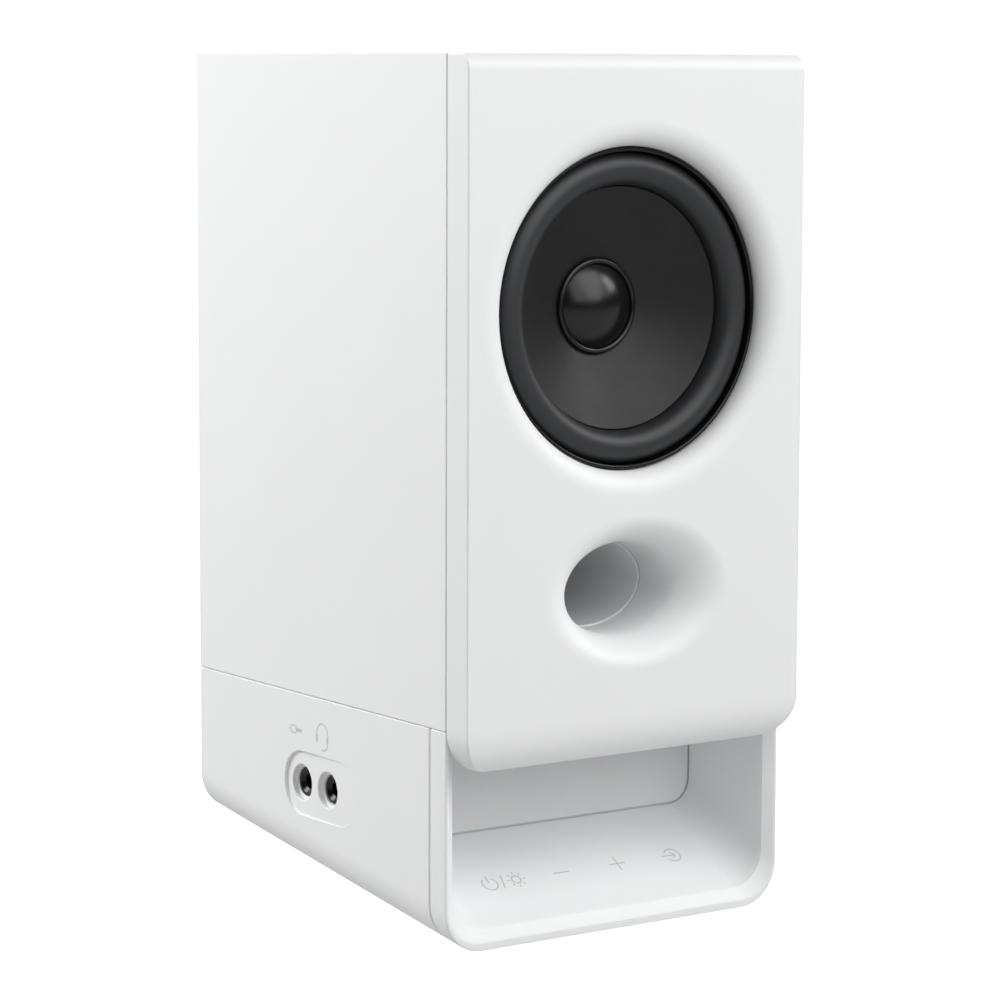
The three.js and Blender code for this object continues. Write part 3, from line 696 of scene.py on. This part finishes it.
add_piece("port_duct", make_port_tube(), white_inside, replaces=["port_tube"])

# ---- Base --------------------------------------------------------------------------------------

SLOPE = math.tan(LEAN)


def base_ring(inset, rise, y, top, corner=None, steps=20):
    """The base's outline at a depth, whose underside rises towards the rear."""
    low = -BASE["height"] + rise + SLOPE * (y - FRONT)
    radius = BASE["corner"] - inset if corner is None else corner
    return at_y(box_outline(BASE["half"] - inset, low, top, radius, 0.4, steps), y)


SCOOP = {"front": 47.4, "rear": 80.9, "half": 8.3, "radius": 8, "depth": 0.8, "fillet": 0.4}
JACKS = [middle("headphone_socket").y, middle("aux_socket").y]
WELL = {"radius": 4.55, "soft": 0.4, "fillet": 0.35, "depth": 1.5, "bore": 3.75}


def scoop_tool():
    """A shallow tilted pocket, deepest at its rear, with a rounded floor edge."""
    length = SCOOP["rear"] - SCOOP["front"]
    fillet = SCOOP["fillet"]
    rings = []
    for x, inset in [(-6, 0), (-fillet, 0)] + [
            (-fillet + fillet * math.sin(t), fillet * (1 - math.cos(t))) for t in turn(4)[1:]]:
        outline = rounded([
            (inset, -SCOOP["half"] + inset, SCOOP["radius"] - inset),
            (length - inset, -SCOOP["half"] + inset, SCOOP["radius"] - inset),
            (length - inset, SCOOP["half"] - inset, SCOOP["radius"] - inset),
            (inset, SCOOP["half"] - inset, SCOOP["radius"] - inset)], 12)
        rings.append([Vector((x, y, z)) for y, z in outline])
    bm = skin(rings, caps=True)
    tilt = Matrix.Rotation(-math.asin(SCOOP["depth"] / length), 4, "Z")
    bmesh.ops.transform(
        bm, matrix=Matrix.Translation((-BASE["half"], SCOOP["front"], JACK_Z)) @ tilt, verts=bm.verts)
    return bm


def scoop_floor(y):
    """The x of the scoop's floor at a depth."""
    way = (y - SCOOP["front"]) / (SCOOP["rear"] - SCOOP["front"])
    return -BASE["half"] + SCOOP["depth"] * way


def jack_tool(y):
    """A round well with soft edges in the scoop's floor, and a bore in it for the jack's nose."""
    radius, soft, fillet = WELL["radius"], WELL["soft"], WELL["fillet"]
    face = scoop_floor(y)
    floor = face + WELL["depth"]
    rings = [(radius + soft, face - 4), (radius + soft, face)]
    rings += [(radius + soft * (1 - math.sin(t)), face + soft * (1 - math.cos(t))) for t in turn(5)[1:]]
    rings += [(radius - fillet * (1 - math.cos(t)), floor - fillet * (1 - math.sin(t))) for t in turn(4)]
    rings += [(WELL["bore"], floor), (WELL["bore"], face + 7)]
    return skin([[Vector((x, a, b)) for a, b in circle(r, y, JACK_Z, 64)] for r, x in rings], caps=True)


def round_socket_tool(name):
    """A round hole in the rear wall with a softened edge."""
    centre = middle(name)
    radius, soft = 5.6, 0.5
    rings = [(radius, 116), (radius, REAR - soft)]
    rings += [(radius + soft * math.sin(t), REAR - soft * math.cos(t)) for t in turn(4)[1:]]
    rings += [(radius + soft, REAR + 2)]
    return skin([at_y(circle(r, centre.x, centre.z, 64), y) for r, y in rings], caps=True)


def foot_frame(index):
    """A frame on the level underside at a foot's centre, in world metres."""
    low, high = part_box(f"foot_{index}")
    return Matrix.Translation(((low.x + high.x) / 2, (low.y + high.y) / 2, low.z))


def foot_pocket(index):
    bm = prism(circle(7.8, 0, 0, 64), -2, 2.3, axis="z")
    to_leaning = place.inverted() @ foot_frame(index) @ Matrix.Scale(MM, 4)
    bmesh.ops.transform(bm, matrix=to_leaning, verts=bm.verts)
    return bm


def make_base_shell():
    front, wall = BASE["seam"] + 0.15, BASE["wall"]
    bevel = 0.3
    rings = [base_ring(bevel, bevel, front, BASE["top"] - bevel),
             base_ring(0, 0, front + bevel, BASE["top"]),
             base_ring(0, 0, REAR - bevel, BASE["top"]),
             base_ring(bevel, bevel, REAR, BASE["top"] - bevel)]
    outside = skin(rings, caps=True)
    inside = skin([base_ring(wall, BASE["floor"], y, 5) for y in (front - 1, REAR - wall)], caps=True)
    inner_face = -HALF_WIDTH + wall
    post = prism([(49.9, -34), (84, -34), (84, -12), (49.9, -12)], inner_face - 0.5, inner_face + 1.6,
                 axis="x")
    usb = middle("usb_socket")
    usb_outline = rounded([
        (usb.x - 4.8, usb.z - 2, 1.9), (usb.x + 4.8, usb.z - 2, 1.9),
        (usb.x + 4.8, usb.z + 2, 1.9), (usb.x - 4.8, usb.z + 2, 1.9)], 8)
    usb_hole = skin([at_y(usb_outline, y) for y in (116, REAR + 2)], caps=True)
    return combined(
        outside, ("DIFFERENCE", inside), ("UNION", post), ("DIFFERENCE", scoop_tool()),
        *[("DIFFERENCE", jack_tool(y)) for y in JACKS],
        *[("DIFFERENCE", round_socket_tool(name)) for name in ("power_inlet", "link_socket")],
        ("DIFFERENCE", usb_hole), *[("DIFFERENCE", foot_pocket(i)) for i in range(1, 5)])


def recess_ring(section, grow=0.0, y=None):
    radius_grow = max(grow, -1)
    return at_y(box_outline(section["half"] + grow, section["low"] - grow, section["high"] + grow,
                            section["lower"] + radius_grow, section["upper"] + radius_grow, 20),
                section["y"] if y is None else y)


def between(first, second, t):
    return {key: first[key] + (second[key] - first[key]) * t for key in first}


def make_bezel():
    """The front ring and the tray of the touch controls, as one closed moulding."""
    bevel, top = 0.4, BASE["top"]
    rear = BASE["seam"] - 0.2
    join = (rear - THROAT["y"]) / (BACK["y"] - THROAT["y"])
    rings = [
        base_ring(bevel, bevel, FRONT, top - bevel),
        base_ring(bevel / 3, bevel / 3, FRONT + bevel / 3, top),
        base_ring(0, 0, FRONT + bevel, top), base_ring(0, 0, rear - 0.2, top),
        base_ring(0.2, 0.2, rear, top - 0.2),
        recess_ring(between(THROAT, BACK, join), TRAY_WALL), recess_ring(BACK, TRAY_WALL),
        recess_ring(BACK, 0.3), recess_ring(between(THROAT, BACK, 0.985)),
        recess_ring(between(THROAT, BACK, 0.03)), recess_ring(between(THROAT, BACK, 0.01), CREASE),
        recess_ring(between(THROAT, MOUTH, 0.02), CREASE), recess_ring(between(THROAT, MOUTH, 0.08)),
        recess_ring(between(THROAT, MOUTH, 0.85)), recess_ring(MOUTH, 0.0, FRONT + 0.12),
        recess_ring(MOUTH, 0.25, FRONT),
    ]
    return skin(rings, around=True, along=True)


def make_diffuser():
    """A panel behind the recess, with a raised face that stands in the recess's rear opening."""
    low, high = spread("light_diffuser")
    clear, soft, proud = 0.06, 0.45, 0.2
    rings = []
    for t in turn(6):
        inset = clear + soft * (1 - math.sin(t))
        rings.append(recess_ring(BACK, -inset, BACK["y"] - proud + soft * (1 - math.cos(t))))
    lap = high.x - BACK["half"]
    rings += [recess_ring(BACK, -clear, low.y), recess_ring(BACK, lap, low.y)]
    rings += [recess_ring(BACK, lap, high.y - 0.25), recess_ring(BACK, lap - 0.25, high.y)]
    return skin(rings, caps=True)


add_piece("base_moulding", make_base_shell(), white, replaces=["base_shell"], crease=30)
add_piece("control_surround", make_bezel(), white, replaces=["control_bezel"], crease=32)
add_piece("glow_panel", make_diffuser(), frosted, replaces=["light_diffuser"])

# ---- Feet --------------------------------------------------------------------------------------


def make_foot():
    """A rubber disc with a soft lower edge and a ribbed face, upright with its face at z = 0."""
    ribs = [(6.2, 0), (6.0, 0.25), (5.2, 0.25), (5.0, 0), (4.0, 0), (3.8, 0.25), (3.0, 0.25), (2.8, 0)]
    profile = [(0, 2), (7.5, 2)] + [(7.5 - 0.5 + 0.5 * math.cos(t), 0.5 - 0.5 * math.sin(t)) for t in turn(4)]
    profile += ribs + [(0, 0)]
    rings = []
    for k in range(64):
        a = 2 * math.pi * k / 64
        rings.append([Vector((r * math.cos(a), r * math.sin(a), z)) for r, z in profile])
    bm = skin(rings, around=True, along=True)
    bmesh.ops.remove_doubles(bm, verts=bm.verts, dist=1e-4)
    return bm


for index in range(1, 5):
    add_piece(f"foot_pad_{index}", make_foot(), foot_rubber, replaces=[f"foot_{index}"],
              matrix=foot_frame(index) @ Matrix.Scale(MM, 4))

# ---- Screws ------------------------------------------------------------------------------------


def make_screw(length):
    """A pan head screw with a cross recess: the head above z = 0 and the shank below it."""
    head, height, shank = 2.7, 1.8, 1.3
    dome = [(head - 0.5 + 0.5 * math.cos(t), height - 0.9 + 0.7 * math.sin(t)) for t in turn(5)]
    profile = [(0, height), (1.2, height - 0.05)] + dome[::-1] + [(head, 0.2), (head - 0.2, 0), (shank, 0)]
    pitch, deep = 1.0, 0.3
    z = -0.5
    while z > -length + 1.2:
        profile += [(shank, z), (shank - deep, z - pitch / 2)]
        z -= pitch
    profile += [(shank * 0.8, -length + 0.8), (0, -length)]
    rings = []
    for k in range(40):
        a = 2 * math.pi * k / 40
        rings.append([Vector((r * math.cos(a), r * math.sin(a), h)) for r, h in profile])
    bm = skin(rings, around=False, along=True)
    bmesh.ops.remove_doubles(bm, verts=bm.verts, dist=1e-4)
    slots = []
    square = ((-1, -1), (1, -1), (1, 1), (-1, 1))
    for a, b in ((1.35, 0.32), (0.32, 1.35)):
        ends = ((0.45, height - 1.3), (1, height + 0.1))
        slots.append(skin([[Vector((x * a * s, y * b * s, h)) for x, y in square] for s, h in ends],
                          caps=True))
    return cut(bm, *slots)


def screw_frame(node, head_way):
    """A frame whose z points out of the screw's head."""
    low, high = spread(node)
    centre = (low + high) / 2
    if head_way == "rear":
        under_head = Vector((centre.x, high.y - 1.8, centre.z))
        return Matrix.Translation(under_head) @ Matrix.Rotation(-math.pi / 2, 4, "X")
    return Matrix.Translation(Vector((centre.x, centre.y, high.z - 1.8)))


for kind, head_way, length in (("rear_panel", "rear", 11), ("driver", "rear", 8), ("base", "up", 16)):
    for index in range(1, 5):
        node = f"{kind}_screw_{index}"
        add_piece(f"{kind}_pan_screw_{index}", make_screw(length), zinc, replaces=[node],
                  matrix=place @ screw_frame(node, head_way))

# ---- Sockets -----------------------------------------------------------------------------------


def revolved(profile, sides, matrix, closed=False):
    """A profile of (radius, height) turned about z, then set by a matrix.

    It ends on the axis or closes on itself.
    """
    rings = []
    for k in range(sides):
        a = 2 * math.pi * k / sides
        rings.append([Vector((r * math.cos(a), r * math.sin(a), h)) for r, h in profile])
    bm = skin(rings, around=closed, along=True)
    bmesh.ops.remove_doubles(bm, verts=bm.verts, dist=1e-4)
    bmesh.ops.transform(bm, matrix=matrix, verts=bm.verts)
    return bm


def block(low, high):
    corners = [(low[0], low[1]), (high[0], low[1]), (high[0], high[1]), (low[0], high[1])]
    return prism(corners, low[2], high[2], axis="z")


def make_jack(node):
    """A 3.5 mm socket: a body on its board and a round nose with a bevelled bore."""
    low, high = spread(node)
    centre = (low + high) / 2
    nose_z = JACK_Z
    out = Matrix.Translation((low.x, centre.y, nose_z)) @ Matrix.Rotation(-math.pi / 2, 4, "Y")
    soft, radius = 0.25, 3.35
    nose = [(0, 0), (radius, 0)]
    nose += [(radius + soft * math.sin(t), soft * math.cos(t) - soft) for t in turn(3)[1:]]
    nose += [(3.6, -2.6), (0, -2.6)]
    bore = [(0, 1), (2.85, 1), (2.85, 0), (2.1, -0.65), (1.8, -0.8), (1.8, -14.5), (0, -14.5)]
    body = block((low.x + 2.2, low.y, low.z), (high.x, high.y, high.z))
    return combined(body, ("UNION", revolved(nose, 64, out)), ("DIFFERENCE", revolved(bore, 64, out)))


for node in ("headphone_socket", "aux_socket"):
    add_piece(f"{node}_jack", make_jack(node), gloss_black, replaces=[node], crease=30)


def make_round_socket(node):
    """A round power or link connector: a boxed body with a collar and a centre pin."""
    low, high = spread(node)
    centre_x = (low.x + high.x) / 2
    z = high.z - 5
    out = Matrix.Translation((centre_x, high.y, z)) @ Matrix.Rotation(-math.pi / 2, 4, "X")
    collar = [(0, 0), (5.0, 0)] + [(5.0 + 0.3 * math.sin(t), -0.3 + 0.3 * math.cos(t)) for t in turn(3)[1:]]
    collar += [(5.3, -4), (0, -4)]
    well = [(0, 1), (3.8, 1), (3.8, 0), (3.4, -0.4), (3.4, -12), (0, -12)]
    pin = [(0, -1.6), (0.7, -1.7), (1.0, -2.1), (1.0, -12.5), (0, -12.5)]
    body = block((centre_x - 4.6, low.y, low.z), (centre_x + 4.6, high.y - 2.4, high.z))
    return combined(body, ("UNION", revolved(collar, 64, out)), ("DIFFERENCE", revolved(well, 64, out)),
                    ("UNION", revolved(pin, 32, out)))


for node in ("power_inlet", "link_socket"):
    add_piece(f"{node}_body", make_round_socket(node), satin_black, replaces=[node], crease=30)

# ---- Printed symbols ---------------------------------------------------------------------------

INK = 0.04


def stroke(bm, points, width, closed=False):
    """A line of ink along points in a plane, as a thin solid."""
    count = len(points)
    rows = []
    for i, (x, y) in enumerate(points):
        before = points[i - 1] if closed or i else points[i]
        after = points[(i + 1) % count] if closed or i < count - 1 else points[i]
        way = Vector((after[0] - before[0], after[1] - before[1])).normalized() * width / 2
        sides = ((x - way.y, y + way.x), (x + way.y, y - way.x))
        levels = ((0.01, sides), (INK, sides[::-1]))
        rows.append([bm.verts.new((*side, h)) for h, pair in levels for side in pair])
    stretch(bm, rows, around=True, along=closed)
    if not closed:
        bm.faces.new(rows[0])
        bm.faces.new(rows[-1])


def arc_points(x, y, rx, ry, start, end, steps=32):
    return [(x + rx * math.cos(t), y + ry * math.sin(t)) for t in turn(steps, start, end)]


LINE = 0.36


def power_symbol(bm):
    stroke(bm, arc_points(0, -0.2, 2.1, 2.1, math.radians(55), math.radians(-235)), LINE)
    stroke(bm, [(0, 0.2), (0, 2.5)], LINE)


def slash_symbol(bm):
    stroke(bm, [(-0.55, -2.3), (0.55, 2.3)], LINE)


def light_symbol(bm):
    stroke(bm, arc_points(0, 0, 1.25, 1.25, 0, 2 * math.pi)[:-1], LINE, closed=True)
    for k in range(8):
        a = k * math.pi / 4
        stroke(bm, [(r * math.cos(a), r * math.sin(a)) for r in (1.9, 2.6)], LINE)


def minus_symbol(bm):
    stroke(bm, [(-2.5, 0), (2.5, 0)], LINE)


def plus_symbol(bm):
    half, size = LINE / 2, 2.4
    minus_symbol(bm)
    stroke(bm, [(0, half), (0, size)], LINE)
    stroke(bm, [(0, -half), (0, -size)], LINE)


def source_symbol(bm):
    stroke(bm, arc_points(0.3, 0, 2.2, 2.2, math.radians(-150), math.radians(150)), LINE)
    stroke(bm, [(-3.1, 0), (1.0, 0)], LINE)
    stroke(bm, [(0.0, 1.0), (1.15, 0), (0.0, -1.0)], LINE)


def headset_symbol(bm):
    stroke(bm, arc_points(0, 0.4, 2.5, 2.9, 0, math.pi), LINE)
    for side in (-1, 1):
        stroke(bm, [(side * 2.45, 0.3), (side * 2.45, -1.5)], 0.8)
    stroke(bm, arc_points(0.6, -1.7, 1.85, 1.7, 0, -math.pi / 2, 12) + [(-0.1, -3.4)], LINE)


def plug_symbol(bm):
    """A jack plug seen from the side, in place of a word."""
    stroke(bm, [(-3.0, 0), (-2.1, 0)], LINE)
    stroke(bm, [(-2.1, -0.9), (0.3, -0.9), (0.3, 0.9), (-2.1, 0.9)], LINE, closed=True)
    stroke(bm, [(0.5, 0), (2.2, 0)], 0.9)
    stroke(bm, [(2.4, 0), (3.0, 0)], 0.7)


RISE = math.atan2(BACK["low"] - THROAT["low"], BACK["y"] - THROAT["y"])
KEY_ROW_Y = 22.3
key_z = THROAT["low"] + (KEY_ROW_Y - THROAT["y"]) * math.tan(RISE)
SYMBOL_Z = -9.6

for name, x, draw in (
        ("power", -28.3, power_symbol), ("slash", -24.4, slash_symbol), ("light", -20.3, light_symbol),
        ("minus", -6.5, minus_symbol), ("plus", 10.8, plus_symbol), ("source", 28.0, source_symbol)):
    symbol = bmesh.new()
    draw(symbol)
    on_floor = Matrix.Translation((x, KEY_ROW_Y, key_z)) @ Matrix.Rotation(RISE, 4, "X")
    add_piece(f"key_symbol_{name}", symbol, ink, matrix=place @ on_floor)

for name, y, draw in (("headset", JACKS[0] + 1.8, headset_symbol), ("plug", JACKS[1] + 2.0, plug_symbol)):
    symbol = bmesh.new()
    draw(symbol)
    on_side = Matrix.Translation((-BASE["half"], y, SYMBOL_Z)) @ Matrix(
        ((0, 0, -1, 0), (-1, 0, 0, 0), (0, 1, 0, 0), (0, 0, 0, 1)))
    add_piece(f"socket_symbol_{name}", symbol, ink, matrix=place @ on_side)

# ---- CAD nodes that stay -----------------------------------------------------------------------

dress("cabinet_shell", white, 0.3)
dress("rear_panel", white, 0.3)
dress("acoustic_wadding", felt, 1.5)
dress("driver_gasket", rubber, 0.2)
dress("driver_frame", steel_black, 0.25)
dress("driver_terminal", brown, 0.15)
dress("voice_coil_former", amber, 0)
dress("voice_coil", copper, 0.1)
dress("top_plate", zinc, 0.3)
dress("magnet", ferrite, 0.4)
dress("yoke", zinc, 0.3)
dress("usb_socket", zinc, 0.05)
dress("heat_sink", aluminium, 0.2)
dress("wireless_module", aluminium, 0.15)
dress("output_inductor", copper, 0.6)
dress("driver_lead_positive", red, 0)
dress("driver_lead_negative", satin_black, 0)
for board in ("amplifier_board", "touch_board", "light_board", "jack_board"):
    dress(board, green, 0.15)
for index in (1, 2):
    dress(f"filter_capacitor_{index}", satin_black, 0.5)
for index in (1, 2, 3):
    dress(f"light_led_{index}", lens, 0.1)

# ---- Camera ------------------------------------------------------------------------------------

VIEW = {
    "from": (-521.41, -684.49, 155.91), "azimuth": 36.126, "down": 6.545, "roll": 0.318,
    "lens": 129.07, "shift": (-0.0669, -0.0183),
}


def add_camera():
    azimuth, down, roll = (math.radians(VIEW[key]) for key in ("azimuth", "down", "roll"))
    ahead = Vector((math.sin(azimuth) * math.cos(down), math.cos(azimuth) * math.cos(down), -math.sin(down)))
    right = Vector((math.cos(azimuth), -math.sin(azimuth), 0))
    up = right.cross(ahead)
    turned_right = right * math.cos(roll) + up * math.sin(roll)
    turned_up = up * math.cos(roll) - right * math.sin(roll)
    axes = Matrix((turned_right, turned_up, -ahead)).transposed().to_4x4()
    camera = bpy.data.objects.new("camera", bpy.data.cameras.new("camera"))
    camera.data.lens = VIEW["lens"]
    camera.data.sensor_width = 36
    camera.data.shift_x, camera.data.shift_y = VIEW["shift"]
    camera.data.clip_start, camera.data.clip_end = 0.01, 50
    camera.matrix_world = Matrix.Translation(place @ Vector(VIEW["from"])) @ rotation @ axes
    bpy.context.scene.collection.objects.link(camera)
    bpy.context.scene.camera = camera


add_camera()

# ---- Floor and light ---------------------------------------------------------------------------

FLOOR = {"flat": 8.0, "curve": 3.0, "wall": 3.0, "glow": 0.96}
BELOW = 0.6                     # how bright the floor looks to the speaker


def add_floor():
    """A pale floor that curves up into a pale wall, so no edge shows behind the speaker."""
    flat, curve = FLOOR["flat"], FLOOR["curve"]
    profile = [(0.01, 0), (2, 0), (flat, 0)]
    profile += [(flat + curve * math.sin(t), curve * (1 - math.cos(t))) for t in turn(12)[1:]]
    profile += [(flat + curve, curve + FLOOR["wall"])]
    rings = []
    for k in range(96):
        a = 2 * math.pi * k / 96
        rings.append([Vector((r * math.cos(a), r * math.sin(a), h)) for r, h in profile])
    floor = as_object(skin(rings, around=False, along=True), "floor")
    floor.data.shade_smooth()
    made = bpy.data.materials.new("floor")
    made.use_nodes = True
    shader = made.node_tree.nodes["Principled BSDF"]
    shader.inputs["Base Color"].default_value = (0.92, 0.92, 0.92, 1)
    shader.inputs["Roughness"].default_value = 0.9
    shader.inputs["Emission Color"].default_value = (1, 1, 1, 1)
    shader.inputs["Emission Strength"].default_value = FLOOR["glow"]
    floor.data.materials.append(made)
    floor.visible_diffuse = False
    floor.visible_glossy = False
    floor.visible_shadow = False


def add_world():
    """Even light from below the horizon, in place of the floor's own bounce, and none from above."""
    world = bpy.data.worlds.new("studio")
    world.use_nodes = True
    nodes, links = world.node_tree.nodes, world.node_tree.links
    direction = nodes.new("ShaderNodeTexCoord")
    split = nodes.new("ShaderNodeSeparateXYZ")
    links.new(direction.outputs["Generated"], split.inputs["Vector"])
    fade = nodes.new("ShaderNodeMapRange")
    fade.inputs["From Min"].default_value = -0.05
    fade.inputs["From Max"].default_value = 0.05
    fade.inputs["To Min"].default_value = BELOW
    fade.inputs["To Max"].default_value = 0
    links.new(split.outputs["Z"], fade.inputs["Value"])
    background = nodes["Background"]
    background.inputs["Color"].default_value = (1, 1, 1, 1)
    links.new(fade.outputs["Result"], background.inputs["Strength"])
    bpy.context.scene.world = world


def add_light(name, place_m, size, power):
    """A square soft box that faces the middle of the speaker."""
    light = bpy.data.lights.new(name, "AREA")
    light.shape = "SQUARE"
    light.size = size
    light.energy = power
    obj = bpy.data.objects.new(name, light)
    obj.location = place_m
    obj.rotation_mode = "QUATERNION"
    obj.rotation_quaternion = (Vector((0, 0, 0.11)) - Vector(place_m)).to_track_quat("-Z", "Y")
    bpy.context.scene.collection.objects.link(obj)


add_floor()
add_world()
add_light("front_box", (0, -1.1, 1.2), 1.7, 15)
add_light("front_right_box", (0.5, -1.0, 1.2), 1.5, 8)
add_light("far_right_box", (1.3, -0.64, 1.05), 0.7, 7)
add_light("left_rear_box", (-0.72, 0.75, 0.68), 0.8, 15.5)
add_light("rear_box", (0.5, 1.3, 0.8), 0.9, 2)
add_light("right_box", (1.6, 0, 0.6), 0.8, 5)
bpy.context.scene.view_settings.view_transform = "Standard"
